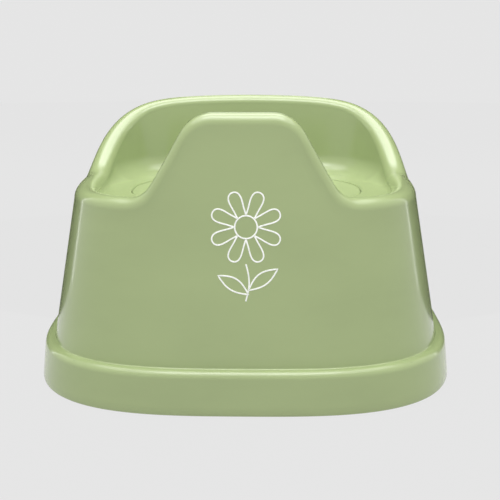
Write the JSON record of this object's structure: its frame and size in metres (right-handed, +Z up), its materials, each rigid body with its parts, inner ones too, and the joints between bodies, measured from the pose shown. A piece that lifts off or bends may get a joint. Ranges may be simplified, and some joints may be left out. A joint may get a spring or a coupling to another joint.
{
  "type": "potty training chair",
  "caption": "Toddler potty chair: flared one-piece shell with splash guard and low backrest, seat moulding inside its rolled rim, and a lift-out pot.",
  "frame": {"origin": "on the floor, under the middle of the chair's footprint", "axes": "+Z up, -Y towards the splash guard at the front, +X to the right when looking from the front"},
  "size_m": [0.347, 0.347, 0.225],
  "materials": {
    "shell_plastic": "glossy moulded",
    "seat_plastic": "glossy moulded",
    "pot_plastic": "glossy moulded",
    "screw_steel": "zinc plated",
    "foot_rubber": "matt"
  },
  "bodies": {
    "chair": {"outer_shell": "shell_plastic", "seat_moulding": "seat_plastic", "screw_front_left": "screw_steel", "screw_front_right": "screw_steel", "screw_rear_right": "screw_steel", "screw_rear_left": "screw_steel", "foot_front_left": "foot_rubber", "foot_front_right": "foot_rubber", "foot_rear_right": "foot_rubber", "foot_rear_left": "foot_rubber"},
    "pot": {"pot": "pot_plastic"}
  },
  "joints": [
    {"name": "pot_lift", "type": "slide", "parent": "chair", "child": "pot", "axis": [0, 0, 1], "range_m": [0, 0.205]}
  ]
}
